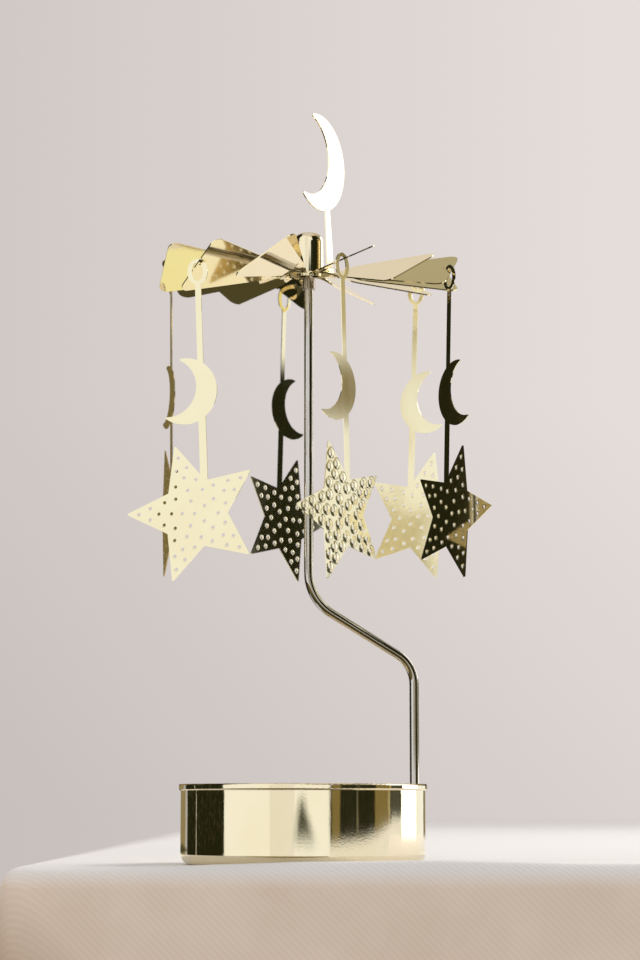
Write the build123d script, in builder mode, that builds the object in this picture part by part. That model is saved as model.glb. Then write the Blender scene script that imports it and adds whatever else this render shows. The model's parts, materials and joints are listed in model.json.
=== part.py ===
# Spinning tealight carousel: a round dish with a bent wire stand, a bladed rotor that
# turns on the wire's pointed tip, and six flat charms hanging from the rotor's blades.
# Millimetres, +Z up, front towards -Y, origin at the centre of the dish's underside.
from build123d import *
import math
import os

os.makedirs("parts", exist_ok=True)

# Dish
dish_radius = 32.0
dish_height = 20.8
dish_wall = 0.5
dish_corner_radius = 2.7
rim_overhang = 0.5
rim_depth = 1.7
rim_rounding = 0.45

# Wire stand
wire_radius = 1.25
stand_azimuth = 12.0
wall_clearance = 0.1
foot_clearance = 0.1
axis_offset = 1.5
upper_corner_height = 69.4
lower_corner_height = 52.4
upper_bend_radius = 12.5
lower_bend_radius = 9.0
tip_height = 167.4
tip_length = 2.6
tip_end_radius = 0.2

# Clip that holds the wire to the dish's wall
clip_thickness = 0.5
clip_width = 9.0
clip_height = 8.0
clip_bottom = 6.0
clip_clearance = 0.04
weld_gap = 0.04

# Sleeve on the wire just below the rotor
sleeve_radius = 1.7
sleeve_length = 3.0
sleeve_drop = 11.4
sleeve_clearance = 0.02

# Rotor: a stamped sheet with a flat hub and twisted blades
first_blade_azimuth = 13.2
rotor_lean = 6.1
blade_sheet = 0.35
hub_radius = 6.4
neck_root_radius = 5.6
neck_half_width = 1.3
twist_length = 8.5
blade_length_radius = 39.7
blade_half_width = 10.0
blade_corner_radius = 2.2
# Tilt of each blade, bent by hand, counted round the rotor from the first
blade_angles = (27.0, 23.0, 32.0, 37.0, 31.0, 27.0, 37.0, 40.6, 33.3, 24.0, 25.6, 28.0)
# Angle by which each blade is bent up (or, below zero, down) at its root
blade_rise_angles = (0.0, 0.0, 0.0, 0.0, 0.0, 0.0, 1.8, -0.3, 2.1, 0.0, -1.8, 0.0)
twist_length_shares = (0.125, 0.25, 0.375, 0.5, 0.625, 0.75, 0.875, 1.0)
twist_pitch_shares = (0.05, 0.16, 0.32, 0.5, 0.68, 0.84, 0.95, 1.0)

# Cap that rides on the wire's tip, riveted through the hub
cap_radius = 4.05
cap_height = 10.7
cap_rounding = 2.5
cap_bore_radius = 2.7
cap_spigot_radius = 3.0
cap_flare_radius = 3.4
cap_flare_thickness = 0.35
cap_cone_depth = 1.7
cap_cone_radius = 0.4
pivot_height = 10.3
pivot_clearance = 0.06
hub_clearance = 0.03

# Finial: a crescent on a stem, bent up from a ring that the cap clamps to the hub
finial_sheet = 0.4
finial_ring_radius = 5.2
finial_azimuth = -30.5
finial_radius = 6.67
finial_lean = 3.4
finial_bend_radius = 0.8
stem_root_half_width = 1.6
stem_top_half_width = 1.1
stem_root_length = 2.2
finial_moon_height = 29.3
finial_moon_shift = -3.0
finial_moon_radius = 13.1
finial_moon_hollow_radius = 11.1
finial_moon_hollow_offset = 6.3
finial_moon_turn = 162.6
finial_horn_rounding = 0.4

# Charms: a ring, a strip, a crescent, a strip and a pierced star, stamped in one piece
charm_sheet = 0.25
ring_half_width = 2.75
ring_half_height = 3.4
ring_hole_half_width = 1.5
ring_hole_half_height = 2.5
hook_rise = 0.85
upper_strip_width = 1.6
lower_strip_width = 2.0
strip_overlap = 0.9
moon_drop = 32.8
moon_shift = -4.4
moon_radius = 8.66
moon_hollow_radius = 7.69
moon_hollow_offset = 4.78
moon_turn = 164.1
horn_rounding = 0.25
star_drop = 64.6
star_shift = -2.8
star_radius = 18.6
star_notch_radius = 8.9
star_points = 5
star_turn = 177.2
star_tip_rounding = 0.3
star_hole_radius = 0.45
# Holes of one arm: distance out from the star's centre and distance to the side
arm_hole_shares = (
    (0.81, 0.0),
    (0.645, 0.078),
    (0.645, -0.078),
    (0.52, 0.0),
    (0.44, 0.155),
    (0.44, -0.155),
    (0.335, 0.0),
    (0.178, 0.0),
    (0.278, 0.202),
)

# Hooks: an angled slit in the outer edge of every second blade holds a charm's ring
hook_inset = 0.5
slit_width = 0.7
slit_start = 0.45
slit_end = 2.5
edge_nick_start = 0.85
edge_nick_end = 3.2
slit_reach = 5.4
entry_width = 0.5

# Every second blade carries a charm, its face turned away from the blade's length by this much
charm_turns = (10.0, 38.0, 33.0, 31.0, 39.0, 47.4)
# How far each charm's hook lies across its blade towards the raised edge
hook_side_shares = (-0.22, -0.24, 0.1, -0.04, -0.04, -0.08)

# Values worked out from the sizes above
wall_inner_radius = dish_radius - dish_wall
stand_radius = wall_inner_radius - wall_clearance - wire_radius
stand_plane = Plane(
    origin=(0, 0, 0),
    x_dir=(math.cos(math.radians(stand_azimuth)), math.sin(math.radians(stand_azimuth)), 0),
    z_dir=(math.sin(math.radians(stand_azimuth)), -math.cos(math.radians(stand_azimuth)), 0),
)
stand_footprint = Plane(origin=(0, 0, 0), x_dir=stand_plane.x_dir, z_dir=(0, 0, 1))
pivot_point = stand_plane.from_local_coords((axis_offset, tip_height, 0))
rotor_frame = Plane(
    origin=pivot_point,
    x_dir=(1, 0, 0),
    z_dir=(0, -math.sin(math.radians(rotor_lean)), math.cos(math.radians(rotor_lean))),
)
hub_plane = rotor_frame.offset(-pivot_height)
blade_level = hub_plane.offset(blade_sheet / 2)
hub_hole_radius = cap_spigot_radius + hub_clearance
twist_end_radius = hub_radius + twist_length
blade_count = len(blade_angles)
charm_blades = range(1, blade_count, 2)


def blade_half_width_at(radius):
    """Half width of a blade, growing in a straight line from its neck to its outer edge."""
    along = (radius - hub_radius) / (blade_length_radius - hub_radius)
    return neck_half_width + along * (blade_half_width - neck_half_width)


def blade_azimuth(index):
    """Direction of a blade, in degrees about the rotor's axis."""
    return first_blade_azimuth + index * 360 / blade_count


def blade_location(index):
    """Place of a blade that was made along X: turned to its direction, then bent up at its root."""
    turned = blade_level.location * Location((0, 0, 0), (0, 0, blade_azimuth(index)))
    bent = Location((neck_root_radius, 0, 0), (0, -blade_rise_angles[index], 0))
    return turned * bent * Location((-neck_root_radius, 0, 0))


def blade_plane(index):
    """Plane of a blade: x runs out along it and y across it, up to its raised edge."""
    return Plane(blade_location(index) * Location((0, 0, 0), (blade_angles[index], 0, 0)))


def hook_place(number):
    """Where a charm's hook lies in the plane of its blade."""
    return blade_length_radius - hook_inset, hook_side_shares[number] * blade_half_width


def charm_plane(number):
    """Upright plane of a charm through its hook: x runs to the side, y straight up."""
    index = charm_blades[number]
    hook = blade_plane(index).from_local_coords((*hook_place(number), 0))
    facing = math.radians(blade_azimuth(index) + charm_turns[number])
    return Plane(
        origin=hook,
        x_dir=(-math.sin(facing), math.cos(facing), 0),
        z_dir=(math.cos(facing), math.sin(facing), 0),
    )


def slit_end_place(number):
    """Where a charm's slit ends in the plane of its blade."""
    blade_here = blade_plane(charm_blades[number])
    charm_here = charm_plane(number)
    slit_run = blade_here.z_dir.cross(charm_here.z_dir)
    slit_run = slit_run * (slit_end / slit_run.dot(charm_here.x_dir))
    hook_out, hook_side = hook_place(number)
    return hook_out + slit_run.dot(blade_here.x_dir), hook_side + slit_run.dot(blade_here.y_dir)


def crescent(radius, hollow_radius, hollow_offset, turn, rounding):
    """Flat crescent round its outer circle's centre, with its horns towards turn."""
    hollow_x = hollow_offset * math.cos(math.radians(turn))
    hollow_y = hollow_offset * math.sin(math.radians(turn))
    with BuildSketch() as moon:
        Circle(radius)
        with Locations((hollow_x, hollow_y)):
            Circle(hollow_radius, mode=Mode.SUBTRACT)
        fillet(moon.vertices(), radius=rounding)
    return moon.sketch


def save(piece, name):
    """Label a finished piece and write it to its own file."""
    piece.label = name
    export_step(piece, f"parts/{name}.step")


# Candle dish: pressed cup with a hemmed rim
with BuildPart() as candle_dish:
    with BuildSketch(Plane.XZ) as dish_profile:
        with BuildLine():
            Polyline(
                (0, 0),
                (dish_radius, 0),
                (dish_radius, dish_height - rim_depth / 2),
                (wall_inner_radius, dish_height - rim_depth / 2),
                (wall_inner_radius, dish_wall),
                (0, dish_wall),
                close=True,
            )
        make_face()
        outer_corner = dish_profile.vertices().group_by(Axis.X)[-1].sort_by(Axis.Y)[0]
        fillet(outer_corner, radius=dish_corner_radius)
        inner_corner = dish_profile.vertices().sort_by_distance((wall_inner_radius, dish_wall))[0]
        fillet(inner_corner, radius=dish_corner_radius - dish_wall)
        with Locations((wall_inner_radius, dish_height)):
            RectangleRounded(
                dish_wall + rim_overhang,
                rim_depth,
                rim_rounding,
                align=(Align.MIN, Align.MAX),
            )
    revolve(axis=Axis.Z)
save(candle_dish.part, "candle_dish")

# Wire stand: one bent steel wire, pointed at the top, its foot just above the dish's corner
with BuildPart() as wire_stand:
    with BuildLine(stand_plane) as wire_route:
        FilletPolyline(
            (stand_radius, dish_corner_radius + foot_clearance),
            (stand_radius, lower_corner_height),
            (axis_offset, upper_corner_height),
            (axis_offset, tip_height - tip_length),
            radius=(lower_bend_radius, upper_bend_radius),
        )
    with BuildSketch(Plane(origin=wire_route.line @ 0, z_dir=wire_route.line % 0)):
        Circle(wire_radius)
    sweep(path=wire_route.line)
    with Locations(wire_route.line @ 1):
        Cone(
            bottom_radius=wire_radius,
            top_radius=tip_end_radius,
            height=tip_length,
            align=(Align.CENTER, Align.CENTER, Align.MIN),
        )
save(wire_stand.part, "wire_stand")

# Stand clip: saddle strap round the wire, spot welded to the inside of the dish's wall
with BuildPart() as stand_clip:
    with BuildSketch(stand_footprint.offset(clip_bottom)):
        Circle(wall_inner_radius - weld_gap)
        Circle(wall_inner_radius - weld_gap - clip_thickness, mode=Mode.SUBTRACT)
        with Locations((wall_inner_radius, 0)):
            Rectangle(clip_width, clip_width, mode=Mode.INTERSECT)
        with Locations((stand_radius, 0)):
            Circle(wire_radius + clip_clearance + clip_thickness)
            Circle(wire_radius + clip_clearance, mode=Mode.SUBTRACT)
            Rectangle(
                clip_width,
                2 * (wire_radius + clip_clearance),
                align=(Align.MIN, Align.CENTER),
                mode=Mode.SUBTRACT,
            )
        Circle(wall_inner_radius - weld_gap, mode=Mode.INTERSECT)
    extrude(amount=clip_height)
save(stand_clip.part, "stand_clip")

# Stop sleeve: short tube crimped on the wire below the cap's mouth
with BuildPart() as stop_sleeve:
    with BuildSketch(Plane.XY.offset(tip_height - sleeve_drop)):
        with Locations((pivot_point.X, pivot_point.Y)):
            Circle(sleeve_radius)
            Circle(wire_radius + sleeve_clearance, mode=Mode.SUBTRACT)
    extrude(amount=-sleeve_length)
save(stop_sleeve.part, "stop_sleeve")


def make_blade(pitch):
    """One blade lying along X: a neck that twists into a flat, pitched panel."""
    stages = [(neck_root_radius, 0), (hub_radius, 0)]
    for length_share, pitch_share in zip(twist_length_shares, twist_pitch_shares):
        stages.append((hub_radius + twist_length * length_share, pitch * pitch_share))
    with BuildPart() as blade:
        for radius, stage_pitch in stages:
            across = (0, math.cos(math.radians(stage_pitch)), math.sin(math.radians(stage_pitch)))
            with BuildSketch(Plane(origin=(radius, 0, 0), x_dir=across, z_dir=(1, 0, 0))):
                Rectangle(2 * blade_half_width_at(radius), blade_sheet)
        loft(ruled=True)
        panel_plane = Plane(Location((0, 0, 0), (pitch, 0, 0)))
        with BuildSketch(panel_plane.offset(-blade_sheet / 2)) as panel:
            with BuildLine():
                Polyline(
                    (twist_end_radius, -blade_half_width_at(twist_end_radius)),
                    (blade_length_radius, -blade_half_width),
                    (blade_length_radius, blade_half_width),
                    (twist_end_radius, blade_half_width_at(twist_end_radius)),
                    close=True,
                )
            make_face()
            fillet(panel.vertices().group_by(Axis.X)[-1], radius=blade_corner_radius)
        extrude(amount=blade_sheet)
    return blade.part


# Rotor: hub disc with its blades, slit at every blade that carries a charm, with a narrow way in
blades = [make_blade(pitch) for pitch in blade_angles]
with BuildPart() as rotor:
    with BuildSketch(hub_plane):
        Circle(hub_radius)
        Circle(hub_hole_radius, mode=Mode.SUBTRACT)
    extrude(amount=blade_sheet)
    for index, blade in enumerate(blades):
        with Locations(blade_location(index)):
            add(blade)
    for number, index in enumerate(charm_blades):
        with BuildSketch(charm_plane(number).offset(-slit_width / 2)):
            with Locations((slit_start, 0)):
                Rectangle(slit_end - slit_start, slit_reach, align=(Align.MIN, Align.CENTER))
            with Locations((-edge_nick_start, 0)):
                Rectangle(
                    edge_nick_end - edge_nick_start,
                    slit_reach,
                    align=(Align.MAX, Align.CENTER),
                )
        extrude(amount=slit_width, mode=Mode.SUBTRACT)
        entry_start, entry_side = slit_end_place(number)
        with BuildSketch(blade_plane(index).offset(-blade_sheet)):
            with Locations((entry_start, entry_side)):
                Rectangle(
                    blade_length_radius - entry_start,
                    entry_width,
                    align=(Align.MIN, Align.MAX),
                )
        extrude(amount=2 * blade_sheet, mode=Mode.SUBTRACT)
save(rotor.part, "rotor")

# Pivot cap: turned thimble whose coned bore sits on the wire's tip
with BuildPart() as pivot_cap:
    shoulder_height = blade_sheet + finial_sheet
    cap_top = shoulder_height + cap_height
    with BuildSketch(Plane(origin=hub_plane.origin, x_dir=hub_plane.x_dir, z_dir=-hub_plane.y_dir)) as cap_profile:
        with BuildLine():
            Polyline(
                (cap_bore_radius, -cap_flare_thickness),
                (cap_flare_radius, -cap_flare_thickness),
                (cap_flare_radius, 0),
                (cap_spigot_radius, 0),
                (cap_spigot_radius, shoulder_height),
                (cap_radius, shoulder_height),
                (cap_radius, cap_top),
                (0, cap_top),
                (0, pivot_height + pivot_clearance),
                (cap_cone_radius, pivot_height + pivot_clearance),
                (cap_bore_radius, pivot_height - cap_cone_depth),
                close=True,
            )
        make_face()
        fillet(cap_profile.vertices().sort_by_distance((cap_radius, cap_top))[0], radius=cap_rounding)
    revolve(axis=Axis(origin=hub_plane.origin, direction=hub_plane.z_dir))
save(pivot_cap.part, "pivot_cap")

# Moon finial: flat ring, tab bent up beside the cap, tapered stem and crescent
with BuildPart() as moon_finial:
    finial_base = Plane(
        hub_plane.offset(blade_sheet).location * Location((0, 0, 0), (0, 0, finial_azimuth))
    )
    lean = math.radians(finial_lean)
    stem_frame = Plane(
        origin=finial_base.from_local_coords((finial_radius, 0, finial_sheet / 2)),
        x_dir=finial_base.y_dir,
        z_dir=finial_base.x_dir * math.cos(lean) + finial_base.z_dir * math.sin(lean),
    )
    with BuildSketch(finial_base):
        Circle(finial_ring_radius)
        Circle(hub_hole_radius, mode=Mode.SUBTRACT)
    extrude(amount=finial_sheet)
    tab_start = (finial_ring_radius + hub_hole_radius) / 2
    tab_plane = Plane(
        origin=finial_base.from_local_coords((0, 0, finial_sheet / 2)),
        x_dir=finial_base.x_dir,
        z_dir=-finial_base.y_dir,
    )
    with BuildLine(tab_plane) as tab_route:
        FilletPolyline(
            (tab_start, 0),
            (finial_radius, 0),
            (
                finial_radius - stem_root_length * math.sin(lean),
                stem_root_length * math.cos(lean),
            ),
            radius=finial_bend_radius,
        )
    with BuildSketch(Plane(origin=tab_route.line @ 0, x_dir=finial_base.y_dir, z_dir=finial_base.x_dir)):
        Rectangle(2 * stem_root_half_width, finial_sheet)
    sweep(path=tab_route.line)
    with BuildSketch(stem_frame):
        with BuildLine():
            Polyline(
                (-stem_root_half_width, stem_root_length),
                (stem_root_half_width, stem_root_length),
                (stem_top_half_width, finial_moon_height - finial_moon_hollow_radius),
                (-stem_top_half_width, finial_moon_height - finial_moon_hollow_radius),
                close=True,
            )
        make_face()
        with Locations((finial_moon_shift, finial_moon_height)):
            add(
                crescent(
                    finial_moon_radius,
                    finial_moon_hollow_radius,
                    finial_moon_hollow_offset,
                    finial_moon_turn,
                    finial_horn_rounding,
                )
            )
    extrude(amount=finial_sheet / 2, both=True)
save(moon_finial.part, "moon_finial")

# Star outline round its own centre, pierced by the same holes in every arm
star_corners = []
for point in range(star_points):
    tip_angle = math.radians(star_turn + point * 360 / star_points)
    notch_angle = tip_angle + math.pi / star_points
    star_corners.append((star_radius * math.cos(tip_angle), star_radius * math.sin(tip_angle)))
    star_corners.append(
        (star_notch_radius * math.cos(notch_angle), star_notch_radius * math.sin(notch_angle))
    )
star_holes = []
for point in range(star_points):
    arm_angle = math.radians(star_turn + point * 360 / star_points)
    for out_share, side_share in arm_hole_shares:
        out = out_share * star_radius
        side = side_share * star_radius
        star_holes.append(
            (
                out * math.cos(arm_angle) - side * math.sin(arm_angle),
                out * math.sin(arm_angle) + side * math.cos(arm_angle),
            )
        )
with BuildSketch() as star:
    with BuildLine():
        Polyline(star_corners, close=True)
    make_face()
    fillet(
        star.vertices().filter_by(lambda corner: corner.center().length > star_notch_radius * 1.5),
        radius=star_tip_rounding,
    )
    with Locations((0, 0), *star_holes):
        Circle(star_hole_radius, mode=Mode.SUBTRACT)

# Charm outline round its hook, with the strip upright
ring_centre = hook_rise - ring_hole_half_height
moon_crossing = math.sqrt(moon_radius**2 - moon_shift**2)
upper_strip_end = -moon_drop + moon_crossing - strip_overlap
lower_strip_start = -moon_drop - moon_crossing + strip_overlap
lower_strip_end = -star_drop + star_notch_radius - strip_overlap
with BuildSketch() as charm_outline:
    with BuildLine():
        Polyline(
            (-upper_strip_width / 2, ring_centre - ring_hole_half_height),
            (upper_strip_width / 2, ring_centre - ring_hole_half_height),
            (upper_strip_width / 2, upper_strip_end),
            (-upper_strip_width / 2, upper_strip_end),
            close=True,
        )
    make_face()
    with Locations((0, lower_strip_start)):
        Rectangle(
            lower_strip_width,
            lower_strip_start - lower_strip_end,
            align=(Align.CENTER, Align.MAX),
        )
    with Locations((0, ring_centre)):
        Ellipse(ring_half_width, ring_half_height)
        Ellipse(ring_hole_half_width, ring_hole_half_height, mode=Mode.SUBTRACT)
    with Locations((moon_shift, -moon_drop)):
        add(crescent(moon_radius, moon_hollow_radius, moon_hollow_offset, moon_turn, horn_rounding))
    with Locations((star_shift, -star_drop)):
        add(star.sketch)

# Each charm hangs with its centre of mass straight below its hook
balance = charm_outline.sketch.face().center()
hang_turn = -math.degrees(math.atan2(balance.X, -balance.Y))
for number in range(len(charm_blades)):
    with BuildPart() as charm:
        with BuildSketch(charm_plane(number).offset(-charm_sheet / 2)):
            add(charm_outline.sketch, rotation=hang_turn)
        extrude(amount=charm_sheet)
    save(charm.part, f"charm_{number + 1}")
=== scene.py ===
import json
import math

import bpy
import numpy as np
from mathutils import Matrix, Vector

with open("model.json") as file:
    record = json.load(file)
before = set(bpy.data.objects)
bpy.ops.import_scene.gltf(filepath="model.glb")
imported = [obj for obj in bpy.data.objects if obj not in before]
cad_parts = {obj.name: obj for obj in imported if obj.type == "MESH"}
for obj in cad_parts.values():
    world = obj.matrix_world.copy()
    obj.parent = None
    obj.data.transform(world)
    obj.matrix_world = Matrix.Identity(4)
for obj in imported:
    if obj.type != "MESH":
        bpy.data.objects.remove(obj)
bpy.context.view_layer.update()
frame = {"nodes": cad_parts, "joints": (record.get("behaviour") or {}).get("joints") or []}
nodes = frame["nodes"]
hooks = {joint["name"]: joint for joint in frame["joints"]}

MM = 0.001
UM = 0.001 * MM

# Charms: how far each hangs turned, and its star's place, turn and size, as in the solid model
charm_count = 6
hang_turn = math.radians(2.07)
star_drop = 64.6 * MM
star_shift = -2.8 * MM
star_turn = math.radians(177.2)
star_radius = 18.6 * MM
star_points = 5
hole_radius = 0.45 * MM
# Holes of half an arm, outwards and sideways, as shares of the star's radius
half_arm_hole_shares = (
    (0.0, 0.0),
    (0.81, 0.0),
    (0.645, 0.078),
    (0.52, 0.0),
    (0.44, 0.155),
    (0.335, 0.0),
    (0.178, 0.0),
    (0.278, 0.202),
)
# Each charm's punched rims, outer radius and height, then the height of its waves and its least roughness
narrow_rim = 0.74 * MM
wide_rim = 1.7 * MM
punched = {
    1: (narrow_rim, 0.02 * MM, 4 * UM, 0.13),
    2: (narrow_rim, 0.03 * MM, 20 * UM, 0.02),
    3: (narrow_rim, 0.02 * MM, 4 * UM, 0.20),
    4: (narrow_rim, 0.01 * MM, 20 * UM, 0.02),
    5: (wide_rim, 0.10 * MM, 20 * UM, 0.07),
    6: (narrow_rim, 0.03 * MM, 20 * UM, 0.02),
}
roughness_spread = 0.04

# Metal tones
pale_gold = (0.93, 0.84, 0.63)
deep_gold = (0.91, 0.805, 0.57)
pale_blade_gold = (0.93, 0.81, 0.53)
deep_blade_gold = (0.91, 0.78, 0.48)
pale_charm_gold = (0.925, 0.85, 0.62)
deep_charm_gold = (0.905, 0.82, 0.57)
pale_wire_steel = (0.68, 0.65, 0.62)
deep_wire_steel = (0.60, 0.57, 0.54)
pale_sleeve_brass = (0.50, 0.44, 0.38)
deep_sleeve_brass = (0.36, 0.31, 0.26)

# Tones of the room that the polished pieces mirror
white_light = (2.3, 2.28, 2.2)
cream_light = (0.99, 1.0, 0.97)
soft_light = (0.88, 0.87, 0.83)
pale_wall = (0.78, 0.73, 0.66)
grey_wall = (0.46, 0.43, 0.32)
tan_wall = (0.285, 0.225, 0.11)
gold_shade = (0.50, 0.43, 0.24)
brown_shade = (0.21, 0.158, 0.055)
olive_shade = (0.24, 0.22, 0.14)
dark_shade = (0.016, 0.016, 0.006)
still_shade = (0.07, 0.072, 0.05)
speck_light = (0.065, 0.062, 0.038)
bare_glow = 0.45

# Panels of the surround: from and to azimuth, from and to height in metres, tone
surround_radius = 0.6
panels = (
    (50, 128, -0.2, 0.28, tan_wall),
    (40, 64, -0.2, 0.12, cream_light),
    (117, 128, 0.10, 0.28, brown_shade),
    (60, 108, 0.28, 0.75, pale_wall),
    (60, 108, 0.75, 1.2, grey_wall),
    (108, 128, 0.28, 1.2, olive_shade),
    (128, 189, 0.10, 1.2, dark_shade),
    (134.5, 193.6, -0.2, 0.10, dark_shade),
    (153.6, 154.8, -0.2, 0.10, pale_wall),
    (155.0, 156.8, 0.10, 0.32, gold_shade),
    (189, 241, 0.10, 1.2, cream_light),
    (193.6, 241, -0.2, 0.10, cream_light),
    (241, 262, -0.2, 1.2, soft_light),
    (262, 296, -0.2, 1.2, cream_light),
    (294.5, 373, -0.2, 0.12, soft_light),
    (193.6, 294, -0.2, -0.016, brown_shade),
    (250, 294, 0.034, 0.118, grey_wall),
    (268, 297, 0.118, 0.165, dark_shade),
    (285, 297, 0.161, 0.29, dark_shade),
    (190, 204, 0.25, 0.33, gold_shade),
    (297, 342, 0.12, 1.2, dark_shade),
    (342, 377, 0.12, 1.2, olive_shade),
    (362, 373.4, 0.12, 0.245, cream_light),
    (369.6, 373.4, 0.203, 0.240, brown_shade),
    (362, 373.4, 0.245, 0.29, gold_shade),
    (373.4, 377.6, 0.12, 0.246, dark_shade),
    (373.4, 377.6, 0.246, 0.29, cream_light),
    (373, 400, -0.2, 0.12, white_light),
    (377.6, 384.5, 0.12, 0.29, cream_light),
    (384.5, 412, 0.12, 0.29, white_light),
    (377.6, 412, 0.29, 0.60, white_light),
    (373.5, 392, 0.034, 0.112, pale_wall),
    (392, 470, 0.034, 0.112, dark_shade),
)
panel_fade = 4 * MM
panel_fade_degrees = 1.0
# Below this height the panels' edges are ragged, by up to half the reach in degrees either way
ragged_top = 45 * MM
ragged_fade = 10 * MM
ragged_reach = 5.0
# Light specks on the dark tones: where uneven values from 0 to 1 rise past a level
speck_seed = 5
speck_run = 5
speck_level = 0.64
speck_fade = 0.1

# Soft dark shape low in front: half width and middle in degrees, with their change on the way down
shape_foot = -6 * MM
shape_foot_fade = 10 * MM
shape_top = 21 * MM
shape_top_fade = 5 * MM
shape_half_width = 5.0
shape_growth_per_metre = 430.0
shape_growth_start = 15.6 * MM
shape_growth_depth = 20 * MM
shape_middle = 269.5
shape_drift = 3.0
shape_drift_start = 12 * MM
shape_drift_depth = 16 * MM
shape_side_fade = 6.0

# Low screens on the right, from and to azimuth and tone; their foot rises as they come round
screen_span = (294.5, 373)
low_screens = (
    (*screen_span, dark_shade),
    (296.5, 304, brown_shade),
    (320.2, 321.2, olive_shade),
    (339, 355, brown_shade),
    (355, 357, gold_shade),
    (358, 371, still_shade),
)
foot_azimuths = (296, 316, 329, 344, 359)
foot_heights = (-4.5 * MM, -2.9 * MM, -1.9 * MM, 1.4 * MM, 6.5 * MM)
last_foot_height = 8.5 * MM
foot_fade = 3 * MM
screen_top = 124 * MM

# Two dark stands close behind the left: from and to azimuth, columns of points
stand_radius = 0.176
stand_foot = 0.5 * MM
stand_top = 60 * MM
stand_rows = 120
dark_stands = {
    "dark_stand_far": (141.5, 159.9, 75),
    "dark_stand_near": (161.1, 198.4, 149),
}

# Patches that the blades' undersides and the wire mirror: from and to x, from and to y, height, tone
level_patches = {
    "dark_mat": (-0.165, -0.040, 0.118, 0.275, 0.0006, (0.075, 0.066, 0.032)),
    "warm_patch": (-0.050, 0.034, 0.034, 0.064, 0.0006, (0.94, 0.93, 0.62)),
    "cream_patch": (0.045, 0.120, 0.074, 0.130, 0.0006, (0.97, 0.94, 0.82)),
    "dark_floor": (-0.6, 0.6, -0.6, -0.0395, -0.19, (0.055, 0.046, 0.02)),
}

# Cloth-covered table
table_left = -76 * MM
table_right = 3.0
table_front = -38.5 * MM
table_back = 1.6
table_fall = 0.25
plan_corner = 16 * MM
edge_radius = 5.5 * MM
fold_places = (-70 * MM, -32 * MM, 0.0, 35 * MM, 70 * MM)
fold_heights = (0.0, 0.8 * MM, 1.9 * MM, 2.3 * MM, 1.4 * MM)
fold_line = -35.3 * MM
fold_width = 1.9 * MM
fold_run_start = 5 * MM
fold_run_end = 0.3
fold_run_steps = 73
corner_steps = 9
edge_steps = 25
top_cloth = (0.87, 0.85, 0.835, 1.0)
# The upright front is the same cloth in painted shade, warmer and darker than the top
shaded_front_cloth = (0.92, 0.77, 0.64)
deep_shaded_front_cloth = (0.84, 0.69, 0.565)
shaded_corner = (0.50, 0.42, 0.33)
thread_shade = (0.955, 0.95, 0.945)
unchanged = (1.0, 1.0, 1.0)

# Wall, room light and lamps
wall_half_width = 3.0
wall_foot = -1.5
wall_top = 3.0
wall_distance = 2.6
# The wall glows by itself; painted shade makes it darker to the left and towards the table
left_wall_glow = (0.640, 0.585, 0.566)
right_wall_glow = (0.785, 0.725, 0.703)
wall_shade_reach = 0.42
full_wall_glow_height = 0.55
table_level_wall_glow = 0.89
room_tone = (0.715, 0.655, 0.635, 1)
light_tone = (1.0, 0.98, 0.96, 1)
light_strength = 0.58
lamp_tone = (1.0, 0.97, 0.94)
lamp_target = Vector((0, 0, 0.05))
# Lamps: place, width and watts
lamps = {
    "window_light": ((0.9, 0.5, 0.9), 0.7, 10.5),
    "fill_light": ((-0.9, -0.7, 0.8), 0.9, 3.5),
}

# Camera, fitted to the photograph
camera_place = (4.46 * MM, -657.8 * MM, 15.35 * MM)
camera_tilt = math.radians(97.44)
camera_lens = 93.36
camera_sensor = 36.0
camera_stop = 20.0
nearest_view = 0.01
farthest_view = 50.0


# Meshes
def grid_faces(rows, columns, close_columns=False):
    """Quads of a grid of rows times columns points, counted row by row."""
    r = np.arange(rows - 1)[:, None]
    c = np.arange(columns if close_columns else columns - 1)[None, :]
    next_c = (c + 1) % columns
    corners = (r * columns + c, r * columns + next_c, (r + 1) * columns + next_c, (r + 1) * columns + c)
    return np.stack(corners, axis=-1).reshape(-1, 4).tolist()


def mesh_object(name, points, faces):
    """A smooth mesh object from a list of points in metres and a list of faces."""
    mesh = bpy.data.meshes.new(name)
    mesh.from_pydata(points, [], faces)
    mesh.validate()
    mesh.update()
    mesh.shade_smooth()
    piece = bpy.data.objects.new(name, mesh)
    bpy.context.scene.collection.objects.link(piece)
    return piece


def sheet_object(name, points, close_columns=False):
    """A sheet through an array of points: rows, columns, then x, y and z in metres."""
    rows, columns = points.shape[:2]
    return mesh_object(name, points.reshape(-1, 3).tolist(), grid_faces(rows, columns, close_columns))


# Nodes of materials
def feed(tree, value, target):
    """Join another node's output to an input, or set the input to a plain value."""
    if isinstance(value, bpy.types.NodeSocket):
        tree.links.new(value, target)
    else:
        target.default_value = value


def noise(tree, vector, scale, detail, roughness=0.5, distortion=0.0):
    """Uneven values about 0.5, at so many features a metre."""
    node = tree.nodes.new("ShaderNodeTexNoise")
    node.inputs["Scale"].default_value = scale
    node.inputs["Detail"].default_value = detail
    node.inputs["Roughness"].default_value = roughness
    node.inputs["Distortion"].default_value = distortion
    feed(tree, vector, node.inputs["Vector"])
    return node.outputs["Fac"]


def ramp(tree, value, *stops):
    """Colour of a value, from stops of a place and a colour each."""
    node = tree.nodes.new("ShaderNodeValToRGB")
    for element, (place, colour) in zip(node.color_ramp.elements, stops):
        element.position = place
        element.color = (*colour, 1.0)
    feed(tree, value, node.inputs["Fac"])
    return node.outputs["Color"]


def mapped(tree, value, low, high, new_low=0.0, new_high=1.0, interpolation="LINEAR"):
    """A value between low and high, moved to between new_low and new_high."""
    node = tree.nodes.new("ShaderNodeMapRange")
    node.interpolation_type = interpolation
    node.inputs["From Min"].default_value = low
    node.inputs["From Max"].default_value = high
    node.inputs["To Min"].default_value = new_low
    node.inputs["To Max"].default_value = new_high
    feed(tree, value, node.inputs["Value"])
    return node.outputs["Result"]


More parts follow.
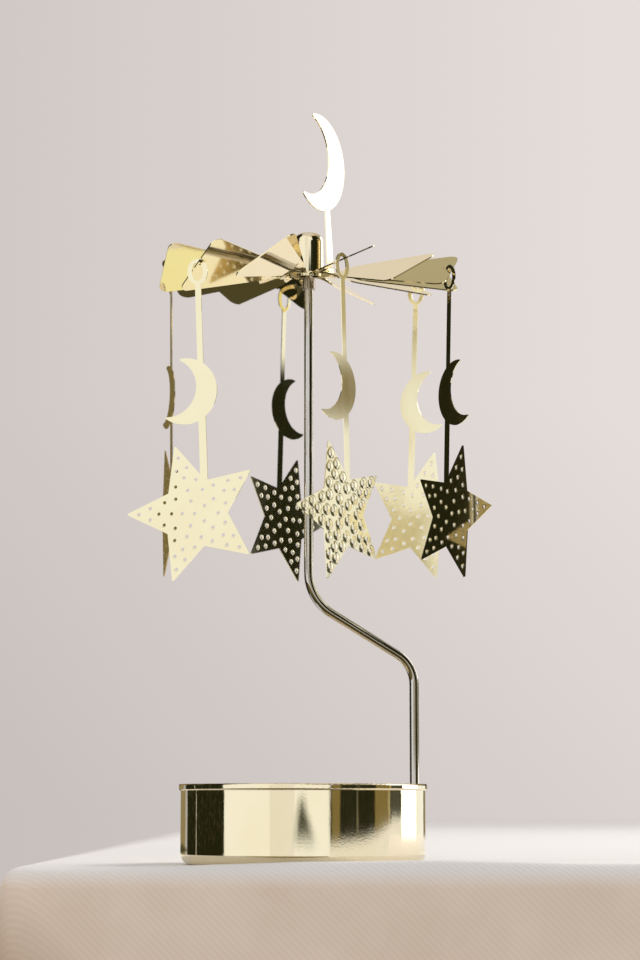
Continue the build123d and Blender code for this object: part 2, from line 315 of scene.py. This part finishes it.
def stretched(tree, vector, scale):
    """Coordinates scaled along each axis; a small scale draws a pattern out."""
    node = tree.nodes.new("ShaderNodeMapping")
    node.inputs["Scale"].default_value = scale
    feed(tree, vector, node.inputs["Vector"])
    return node.outputs["Vector"]


def bumped(tree, height, distance, below=None, strength=1.0):
    """Surface bumped by a height from 0 to 1 times a distance in metres, on top of the bumps below."""
    node = tree.nodes.new("ShaderNodeBump")
    node.inputs["Distance"].default_value = distance
    node.inputs["Strength"].default_value = strength
    feed(tree, height, node.inputs["Height"])
    if below is not None:
        feed(tree, below, node.inputs["Normal"])
    return node.outputs["Normal"]


def maths(tree, operation, first, second=0.0):
    """One sum or function of two values, each a socket or a plain number."""
    node = tree.nodes.new("ShaderNodeMath")
    node.operation = operation
    feed(tree, first, node.inputs[0])
    feed(tree, second, node.inputs[1])
    return node.outputs[0]


def vector_maths(tree, operation, first, constant, result="Value"):
    """One sum or product of a vector socket and a constant vector."""
    node = tree.nodes.new("ShaderNodeVectorMath")
    node.operation = operation
    feed(tree, first, node.inputs[0])
    feed(tree, constant, node.inputs[1])
    return node.outputs[result]


def mixed(tree, factor, first, second, blend="MIX"):
    """Two colours mixed or multiplied, each a socket or a plain colour."""
    node = tree.nodes.new("ShaderNodeMix")
    node.data_type = "RGBA"
    node.blend_type = blend
    feed(tree, factor, node.inputs["Factor"])
    feed(tree, first, node.inputs["A"])
    feed(tree, second, node.inputs["B"])
    return node.outputs["Result"]


def axes(tree, place):
    """The x, y and z of a place, by the names X, Y and Z."""
    node = tree.nodes.new("ShaderNodeSeparateXYZ")
    feed(tree, place, node.inputs[0])
    return node.outputs


def object_place(tree):
    """Object coordinates: the place on a piece at rest, in metres."""
    return tree.nodes.new("ShaderNodeTexCoord").outputs["Object"]


def new_material(name):
    """A new material, which starts with a plain shader, and its node tree."""
    material = bpy.data.materials.new(name)
    material.use_nodes = True
    return material, material.node_tree


def shine_only(tree, colour, strength=1.0):
    """Make a plain emission of a colour the whole surface of a material."""
    shine = tree.nodes.new("ShaderNodeEmission")
    output = tree.nodes.new("ShaderNodeOutputMaterial")
    feed(tree, colour, shine.inputs["Color"])
    feed(tree, strength, shine.inputs["Strength"])
    feed(tree, shine.outputs["Emission"], output.inputs["Surface"])


# Metal finishes
def raised_rims(tree, place, hinge, rim_radius):
    """Height of the rims that the punch raised round a star's holes: 1 at a hole, 0 a little way out.

    The place is turned into the star's own plane and folded into half an arm, by a triangle wave of the
    angle that repeats with each arm, because every half arm carries the same holes. The distance to the
    nearest hole then gives the height.
    """
    hook, facing = hinge["pos_m"], hinge["axis"]
    side = (-facing[1], facing[0], 0.0)
    centre_x = star_shift * math.cos(hang_turn) + star_drop * math.sin(hang_turn)
    centre_y = star_shift * math.sin(hang_turn) - star_drop * math.cos(hang_turn)
    from_hook = vector_maths(tree, "SUBTRACT", place, hook, "Vector")
    across = vector_maths(tree, "DOT_PRODUCT", from_hook, side)
    upward = vector_maths(tree, "DOT_PRODUCT", from_hook, (0.0, 0.0, 1.0))
    x = maths(tree, "DIVIDE", maths(tree, "SUBTRACT", across, centre_x), star_radius)
    y = maths(tree, "DIVIDE", maths(tree, "SUBTRACT", upward, centre_y), star_radius)
    radius_squared = maths(tree, "ADD", maths(tree, "MULTIPLY", x, x), maths(tree, "MULTIPLY", y, y))
    radius = maths(tree, "SQRT", radius_squared)
    angle = maths(tree, "SUBTRACT", maths(tree, "ARCTAN2", y, x), star_turn + hang_turn)
    folded = maths(tree, "PINGPONG", angle, math.pi / star_points)
    spot = tree.nodes.new("ShaderNodeCombineXYZ")
    feed(tree, maths(tree, "MULTIPLY", radius, maths(tree, "COSINE", folded)), spot.inputs["X"])
    feed(tree, maths(tree, "MULTIPLY", radius, maths(tree, "SINE", folded)), spot.inputs["Y"])
    nearest = None
    for outward, sideways in half_arm_hole_shares:
        away = vector_maths(tree, "DISTANCE", spot.outputs["Vector"], (outward, sideways, 0.0))
        nearest = away if nearest is None else maths(tree, "MINIMUM", nearest, away)
    return mapped(tree, nearest, rim_radius / star_radius, hole_radius / star_radius,
                  interpolation="SMOOTHSTEP")


def polished_metal(name, deep, pale, roughness, wave, ripple, scratch=0.2 * UM, rims=None):
    """Polished metal: tone and gloss drift, and the sheet is slightly wavy, rippled and hair-scratched.

    Roughness is its least and most; wave and ripple are a height in metres and a scale. Rims, for a
    charm, are its hinge and the radius and height of its punched rims.
    """
    material, tree = new_material(name)
    shader = tree.nodes["Principled BSDF"]
    shader.inputs["Metallic"].default_value = 1.0
    place = object_place(tree)
    drift = noise(tree, place, 55.0, detail=4.0, roughness=0.6)
    feed(tree, ramp(tree, drift, (0.35, deep), (0.65, pale)), shader.inputs["Base Color"])
    upright = stretched(tree, place, (1.0, 1.0, 0.35))
    smears = noise(tree, upright, 130.0, detail=5.0, roughness=0.65, distortion=0.4)
    feed(tree, mapped(tree, smears, 0.3, 0.75, *roughness), shader.inputs["Roughness"])
    wave_height, wave_scale = wave
    surface = bumped(tree, noise(tree, place, wave_scale, detail=1.0, roughness=0.4), wave_height)
    ripple_height, ripple_scale = ripple
    ripples = noise(tree, place, ripple_scale, detail=2.0, roughness=0.6)
    surface = bumped(tree, ripples, ripple_height, surface)
    long_drawn = stretched(tree, place, (1.0, 1.0, 0.04))
    hairs = noise(tree, long_drawn, 9000.0, detail=2.0, roughness=0.6)
    surface = bumped(tree, hairs, scratch, surface)
    if rims is not None:
        hinge, rim_radius, rim_height = rims
        surface = bumped(tree, raised_rims(tree, place, hinge, rim_radius), rim_height, surface)
    feed(tree, surface, shader.inputs["Normal"])
    return material


def charm_finish(number):
    """Polished metal of one charm, with raised rims round its star's holes."""
    rim_radius, rim_height, wave_height, dullness = punched[number]
    return polished_metal(
        f"charm_{number}_finish", deep_charm_gold, pale_charm_gold,
        roughness=(dullness, dullness + roughness_spread),
        wave=(wave_height, 50.0), ripple=(0.3 * UM, 900.0),
        rims=(hooks[f"charm_{number}_swing"], rim_radius, rim_height),
    )


def dress(node, material):
    """Give every slot of a CAD node one material."""
    data = nodes[node].data
    for index in range(len(data.materials)):
        data.materials[index] = material


dish_finish = polished_metal("dish_finish", deep_gold, pale_gold, roughness=(0.02, 0.06),
                             wave=(20 * UM, 40.0), ripple=(2.2 * UM, 2000.0))
rotor_finish = polished_metal("rotor_finish", deep_blade_gold, pale_blade_gold, roughness=(0.02, 0.06),
                              wave=(20 * UM, 60.0), ripple=(0.3 * UM, 900.0))
cap_finish = polished_metal("cap_finish", deep_gold, pale_gold, roughness=(0.04, 0.08),
                            wave=(3 * UM, 200.0), ripple=(0.3 * UM, 900.0))
finial_finish = polished_metal("finial_finish", deep_gold, pale_gold, roughness=(0.04, 0.08),
                               wave=(30 * UM, 60.0), ripple=(1.5 * UM, 700.0))
wire_finish = polished_metal("wire_finish", deep_wire_steel, pale_wire_steel, roughness=(0.05, 0.10),
                             wave=(1 * UM, 200.0), ripple=(0.12 * UM, 1500.0), scratch=0.04 * UM)
sleeve_finish = polished_metal("sleeve_finish", deep_sleeve_brass, pale_sleeve_brass,
                               roughness=(0.20, 0.34), wave=(10 * UM, 400.0), ripple=(1.5 * UM, 700.0))

dress("candle_dish", dish_finish)
dress("stand_clip", dish_finish)
dress("rotor", rotor_finish)
dress("pivot_cap", cap_finish)
dress("moon_finial", finial_finish)
dress("wire_stand", wire_finish)
dress("stop_sleeve", sleeve_finish)
for number in range(1, charm_count + 1):
    dress(f"charm_{number}", charm_finish(number))


# Room that the metal mirrors
def glow_material(name):
    """Plain light source in the colours of the mesh's own glow attribute."""
    material, tree = new_material(name)
    tree.nodes.clear()
    glow = tree.nodes.new("ShaderNodeAttribute")
    glow.attribute_name = "glow"
    shine_only(tree, glow.outputs["Color"])
    return material


def reflection_only(piece, glow):
    """Light a piece of the room by a glow per point, and keep it out of the picture itself.

    Only reflections show it: it lights nothing and casts no shadow.
    """
    layer = piece.data.attributes.new("glow", "FLOAT_COLOR", "POINT")
    colours = np.concatenate([glow, np.ones_like(glow[..., :1])], axis=-1)
    layer.data.foreach_set("color", colours.astype(np.float32).ravel())
    piece.data.materials.append(glow_material(f"{piece.name}_light"))
    piece.visible_camera = False
    piece.visible_diffuse = False
    piece.visible_transmission = False
    piece.visible_shadow = False
    piece.visible_volume_scatter = False


def covered(azimuth, start, end):
    """1 between two azimuths, fading to 0 over a band of degrees at either end."""
    middle, half = (start + end) / 2, (end - start) / 2
    off = np.abs((azimuth - middle + 180) % 360 - 180)
    return np.clip((half - off) / panel_fade_degrees + 0.5, 0, 1)


def between(height, low, high, low_fade, high_fade):
    """1 between two heights, fading to 0 over a band inside either end."""
    return np.clip((height - low) / low_fade, 0, 1) * np.clip((high - height) / high_fade, 0, 1)


def laid_over(glow, tone, cover):
    """Glow with a tone over it, wholly where the cover is 1."""
    cover = cover[..., None]
    return glow * (1 - cover) + np.array(tone) * cover


def speckles(shape):
    """Uneven values about 0.5, each the mean of a run of neighbours in its row, the same every time."""
    values = np.random.default_rng(speck_seed).random(shape)
    return sum(np.roll(values, step, axis=1) for step in range(speck_run)) / speck_run


def specks(values):
    """Light specks where the uneven values are highest."""
    return np.clip((values - speck_level) / speck_fade, 0, 1)[..., None] * np.array(speck_light)


def low_dark_shape(azimuth, height):
    """Cover of one soft dark shape low in front: it widens and drifts to the right on the way down."""
    half_width = shape_half_width + shape_growth_per_metre * np.clip(
        shape_growth_start - height, 0, shape_growth_depth
    )
    drifted = np.clip((shape_drift_start - height) / shape_drift_depth, 0, 1)
    off = np.abs(azimuth % 360 - shape_middle - shape_drift * drifted)
    cover = np.clip((half_width - off) / shape_side_fade, 0, 1)
    return cover * between(height, shape_foot, shape_top, shape_foot_fade, shape_top_fade)


def surround_glow(azimuth, height):
    """Each panel covers what lies before it in the list, fading over a degree and 4 mm at its edges.

    Low in front is a soft dark shape, and low on the right stand dark screens whose foot rises as they
    come round. The edges are ragged down there, and light specks show on the screens.
    """
    uneven = speckles(azimuth.shape)
    low_down = np.clip((ragged_top - height) / ragged_fade, 0, 1)
    azimuth = azimuth + ragged_reach * (uneven - 0.5) * low_down
    glow = np.full((*azimuth.shape, 3), bare_glow)
    for start, end, low, high, tone in panels:
        cover = covered(azimuth, start, end) * between(height, low, high, panel_fade, panel_fade)
        glow = laid_over(glow, tone, cover)
    glow = laid_over(glow, still_shade, low_dark_shape(azimuth, height))
    foot = np.interp(azimuth % 360, foot_azimuths, foot_heights)
    foot = np.where(azimuth % 360 < 180, last_foot_height, foot)
    standing = between(height, foot, screen_top, foot_fade, panel_fade)
    for start, end, tone in low_screens:
        glow = laid_over(glow, tone, covered(azimuth, start, end) * standing)
    speckled = covered(azimuth, *screen_span) * standing * low_down
    return glow + specks(uneven) * speckled[..., None]


def stand_glow(azimuth, height):
    """Dark all over, with light specks."""
    return np.array(dark_shade) + specks(speckles(azimuth.shape))


def curved_panel(name, radius, azimuth, height, tone, whole=False):
    """Upright panel on a cylinder: point = (radius cos azimuth, radius sin azimuth, height)."""
    a, h = np.meshgrid(np.radians(azimuth), height)
    points = np.stack([radius * np.cos(a), radius * np.sin(a), h], axis=-1)
    reflection_only(sheet_object(name, points, close_columns=whole), tone(np.degrees(a), h))


def studio_surround():
    """Upright cylinder of panels round the object, finer at table height, and two dark stands."""
    coarse, fine = np.linspace(-0.2, 1.2, 141), np.linspace(-30 * MM, 40 * MM, 71)
    height = np.unique(np.concatenate([coarse, fine]).round(5))
    azimuth = np.linspace(0, 360, 1441)[:-1]
    curved_panel("studio_surround", surround_radius, azimuth, height, surround_glow, whole=True)
    stand_height = np.linspace(stand_foot, stand_top, stand_rows)
    for name, (start, end, columns) in dark_stands.items():
        curved_panel(name, stand_radius, np.linspace(start, end, columns), stand_height, stand_glow)


def lay_patches():
    """Flat patches: a dark mat behind the left, cloth lit by the brass, and the dark floor in front."""
    for name, (x_from, x_to, y_from, y_to, level, tone) in level_patches.items():
        x, y = np.meshgrid(np.linspace(x_from, x_to, 3), np.linspace(y_from, y_to, 3))
        patch = sheet_object(name, np.stack([x, y, np.full(x.shape, level)], axis=-1))
        reflection_only(patch, np.full((*x.shape, 3), tone))


# Table and wall
def table_plan():
    """Plan of the table with rounded corners, and each point's inward direction.

    A corner's points are centre + corner radius * (cos, sin) of a quarter turn. The front edge has
    points of its own, because the cloth's fold runs along it.
    """
    turn = np.linspace(0, math.pi / 2, corner_steps)
    left, right = table_left + plan_corner, table_right - plan_corner
    front, back = table_front + plan_corner, table_back - plan_corner
    front_run = np.linspace(left + fold_run_start, fold_run_end, fold_run_steps)
    plan, inward = [], []
    for centre, begin in (((left, front), math.pi), ((right, front), 1.5 * math.pi),
                          ((right, back), 0.0), ((left, back), 0.5 * math.pi)):
        outward = np.stack([np.cos(begin + turn), np.sin(begin + turn)], axis=-1)
        plan.append(np.array(centre) + plan_corner * outward)
        inward.append(-outward)
        if begin == math.pi:
            plan.append(np.stack([front_run, np.full(front_run.shape, table_front)], axis=-1))
            inward.append(np.tile([0.0, 1.0], (len(front_run), 1)))
    return np.concatenate(plan), np.concatenate(inward)


def table_cloth():
    """Plain woven cloth with fine twill: pale on top; painted shade makes it warmer and darker on the
    upright front and darker towards the left corner.
    """
    material, tree = new_material("table_cloth")
    shader = tree.nodes["Principled BSDF"]
    shader.inputs["Roughness"].default_value = 0.9
    shader.inputs["Specular IOR Level"].default_value = 0.1
    place = object_place(tree)
    parts = axes(tree, place)
    patches = noise(tree, place, 30.0, detail=4.0, roughness=0.6)
    # Painted shade on the upright front, its tone drifting at random
    shaded_front_tone = ramp(tree, patches, (0.3, deep_shaded_front_cloth), (0.7, shaded_front_cloth))
    on_top = mapped(tree, parts["Z"], -5 * MM, -0.5 * MM)
    tone = mixed(tree, on_top, shaded_front_tone, top_cloth)
    twill = tree.nodes.new("ShaderNodeTexWave")
    twill.bands_direction = "DIAGONAL"
    twill.inputs["Scale"].default_value = 330.0
    twill.inputs["Distortion"].default_value = 1.2
    twill.inputs["Detail"].default_value = 2.0
    twill.inputs["Detail Scale"].default_value = 3.0
    feed(tree, place, twill.inputs["Vector"])
    threads = ramp(tree, twill.outputs["Fac"], (0.0, thread_shade), (1.0, unchanged))
    tone = mixed(tree, 1.0, tone, threads, "MULTIPLY")
    # Painted shade: darker towards the left and down the front, near the left corner
    aslant = maths(tree, "ADD", parts["X"], maths(tree, "MULTIPLY", parts["Z"], 0.9))
    from_corner = mapped(tree, aslant, -105 * MM, -73.3 * MM)
    corner_shade = ramp(tree, from_corner, (0.0, shaded_corner), (1.0, unchanged))
    tone = mixed(tree, 1.0, tone, corner_shade, "MULTIPLY")
    feed(tree, tone, shader.inputs["Base Color"])
    weave = maths(tree, "ADD", twill.outputs["Fac"], noise(tree, place, 1800.0, detail=2.0))
    feed(tree, bumped(tree, weave, 60 * UM, strength=0.6), shader.inputs["Normal"])
    return material


def cloth_table():
    """Cloth-covered block: a rounded edge profile carried round a plan with rounded corners.

    Each plan point p with its inward direction n gives the ring p + n * inset at each level; the top
    is closed to one middle point. Along the front edge the cloth's fold adds a swell, fold height *
    exp(-(distance from the fold line / fold width) squared).
    """
    plan, inward = table_plan()
    bend = np.linspace(0, math.pi / 2, edge_steps)
    inset = np.concatenate([[0.0], edge_radius - edge_radius * np.cos(bend)])
    level = np.concatenate([[-table_fall], edge_radius * np.sin(bend) - edge_radius])
    ring = plan[None] + inward[None] * inset[:, None, None]
    fold = np.interp(ring[..., 0], fold_places, fold_heights)
    swell = fold * np.exp(-(((ring[..., 1] - fold_line) / fold_width) ** 2))
    points = np.concatenate([ring, (level[:, None] + swell)[..., None]], axis=-1)
    count, around = ring.shape[:2]
    middle = count * around
    top = middle - around
    middle_point = [(table_left + table_right) / 2, (table_front + table_back) / 2, 0.0]
    faces = grid_faces(count, around, close_columns=True)
    faces += [[top + k, top + (k + 1) % around, middle] for k in range(around)]
    table = mesh_object("cloth_table", points.reshape(-1, 3).tolist() + [middle_point], faces)
    table.data.materials.append(table_cloth())


def shaded_wall_glow():
    """Wall that shines by itself, with painted shade: a little darker to the left and towards the table.
    """
    material, tree = new_material("shaded_wall_glow")
    tree.nodes.clear()
    parts = axes(tree, object_place(tree))
    # Painted shade: darker to the left and, by the glow's strength, towards the table
    sideways = mapped(tree, parts["X"], -wall_shade_reach, wall_shade_reach)
    tone = ramp(tree, sideways, (0.0, left_wall_glow), (1.0, right_wall_glow))
    shine_only(tree, tone, mapped(tree, parts["Z"], 0.0, full_wall_glow_height, table_level_wall_glow, 1.0))
    return material


def wall_backdrop():
    """Far upright wall behind the table: point = (x, wall distance, z)."""
    sideways = np.linspace(-wall_half_width, wall_half_width, 7)
    x, z = np.meshgrid(sideways, np.linspace(wall_foot, wall_top, 7))
    wall = sheet_object("wall_backdrop", np.stack([x, np.full(x.shape, wall_distance), z], axis=-1))
    wall.data.materials.append(shaded_wall_glow())
    wall.visible_diffuse = False
    wall.visible_glossy = False
    wall.visible_shadow = False


# Light and camera
def pale_room():
    """World: a plain soft light, and the pale wall colour wherever the camera or a reflection looks."""
    world = bpy.data.worlds.new("pale_room")
    bpy.context.scene.world = world
    world.use_nodes = True
    tree = world.node_tree
    tree.nodes.clear()
    path = tree.nodes.new("ShaderNodeLightPath")
    seen = maths(tree, "MAXIMUM", path.outputs["Is Camera Ray"], path.outputs["Is Glossy Ray"])
    seen = maths(tree, "MAXIMUM", seen, path.outputs["Is Transmission Ray"])
    wall = tree.nodes.new("ShaderNodeBackground")
    wall.inputs["Color"].default_value = room_tone
    light = tree.nodes.new("ShaderNodeBackground")
    light.inputs["Color"].default_value = light_tone
    light.inputs["Strength"].default_value = light_strength
    mix = tree.nodes.new("ShaderNodeMixShader")
    output = tree.nodes.new("ShaderNodeOutputWorld")
    feed(tree, seen, mix.inputs["Fac"])
    feed(tree, light.outputs[0], mix.inputs[1])
    feed(tree, wall.outputs[0], mix.inputs[2])
    feed(tree, mix.outputs[0], output.inputs["Surface"])


def soft_lamp(name, place, size, watts):
    """Round soft lamp that points at the lower part of the object and that the metal doesn't mirror."""
    lamp = bpy.data.lights.new(name, "AREA")
    lamp.shape = "DISK"
    lamp.size = size
    lamp.energy = watts
    lamp.color = lamp_tone
    holder = bpy.data.objects.new(name, lamp)
    bpy.context.scene.collection.objects.link(holder)
    holder.location = place
    holder.rotation_euler = (lamp_target - Vector(place)).to_track_quat("-Z", "Y").to_euler()
    holder.visible_glossy = False


def front_camera():
    """Camera at the photograph's place: level with the dish, looking slightly up, the stand in focus."""
    camera = bpy.data.cameras.new("front_camera")
    camera.sensor_width = camera_sensor
    camera.lens = camera_lens
    camera.clip_start = nearest_view
    camera.clip_end = farthest_view
    camera.dof.use_dof = True
    camera.dof.focus_object = nodes["wire_stand"]
    camera.dof.aperture_fstop = camera_stop
    holder = bpy.data.objects.new("front_camera", camera)
    bpy.context.scene.collection.objects.link(holder)
    holder.location = camera_place
    holder.rotation_euler = (camera_tilt, 0, 0)
    bpy.context.scene.camera = holder


front_camera()
pale_room()
wall_backdrop()
cloth_table()
studio_surround()
lay_patches()
for name, (place, size, watts) in lamps.items():
    soft_lamp(name, place, size, watts)
bpy.context.scene.view_settings.view_transform = "Standard"
